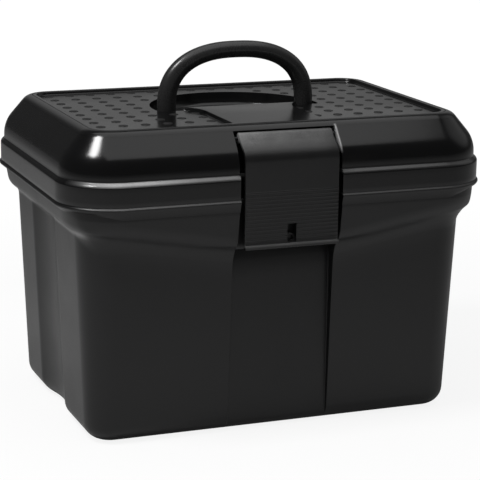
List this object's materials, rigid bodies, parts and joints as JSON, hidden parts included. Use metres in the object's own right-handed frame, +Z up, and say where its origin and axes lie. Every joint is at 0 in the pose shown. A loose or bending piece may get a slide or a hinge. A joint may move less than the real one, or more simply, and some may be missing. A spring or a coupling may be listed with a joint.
{
  "type": "horse grooming box",
  "caption": "Lidded plastic carry box for grooming kit with hinged lid, fold-down bail handle in a round well, bent front latch and lift-out divided tray.",
  "frame": {"origin": "middle of the flat base", "axes": "+Z up, +X to the right along the long side, front with the latch towards -Y"},
  "size_m": [0.403, 0.2935, 0.3368],
  "materials": {
    "tub_plastic": "satin",
    "lid_plastic": "gloss",
    "handle_plastic": "gloss",
    "latch_plastic": "gloss",
    "tray_plastic": "satin",
    "pin_steel": "drawn"
  },
  "bodies": {
    "tub_body": {"tub": "tub_plastic"},
    "lid_body": {"lid": "lid_plastic", "handle_pin_left": "pin_steel", "handle_pin_right": "pin_steel", "latch_pin": "pin_steel", "hinge_pin_left": "pin_steel", "hinge_pin_right": "pin_steel"},
    "handle_body": {"carry_handle": "handle_plastic"},
    "latch_body": {"front_latch": "latch_plastic"},
    "tray_body": {"lift_out_tray": "tray_plastic"}
  },
  "joints": [
    {"name": "lid_hinge", "type": "hinge", "parent": "tub_body", "child": "lid_body", "pos_m": [0, 0.1455, 0.223], "axis": [-1, 0, 0], "range_deg": [0, 100]},
    {"name": "handle_fold", "type": "hinge", "parent": "lid_body", "child": "handle_body", "pos_m": [0, -0.001, 0.2723], "axis": [-1, 0, 0], "range_deg": [0, 90]},
    {"name": "latch_swing", "type": "hinge", "parent": "lid_body", "child": "latch_body", "pos_m": [0, -0.11952, 0.26845], "axis": [-1, 0, 0], "range_deg": [0, 95]},
    {"name": "tray_lift", "type": "slide", "parent": "tub_body", "child": "tray_body", "axis": [0, 0, 1], "range_m": [0, 0.018]}
  ]
}
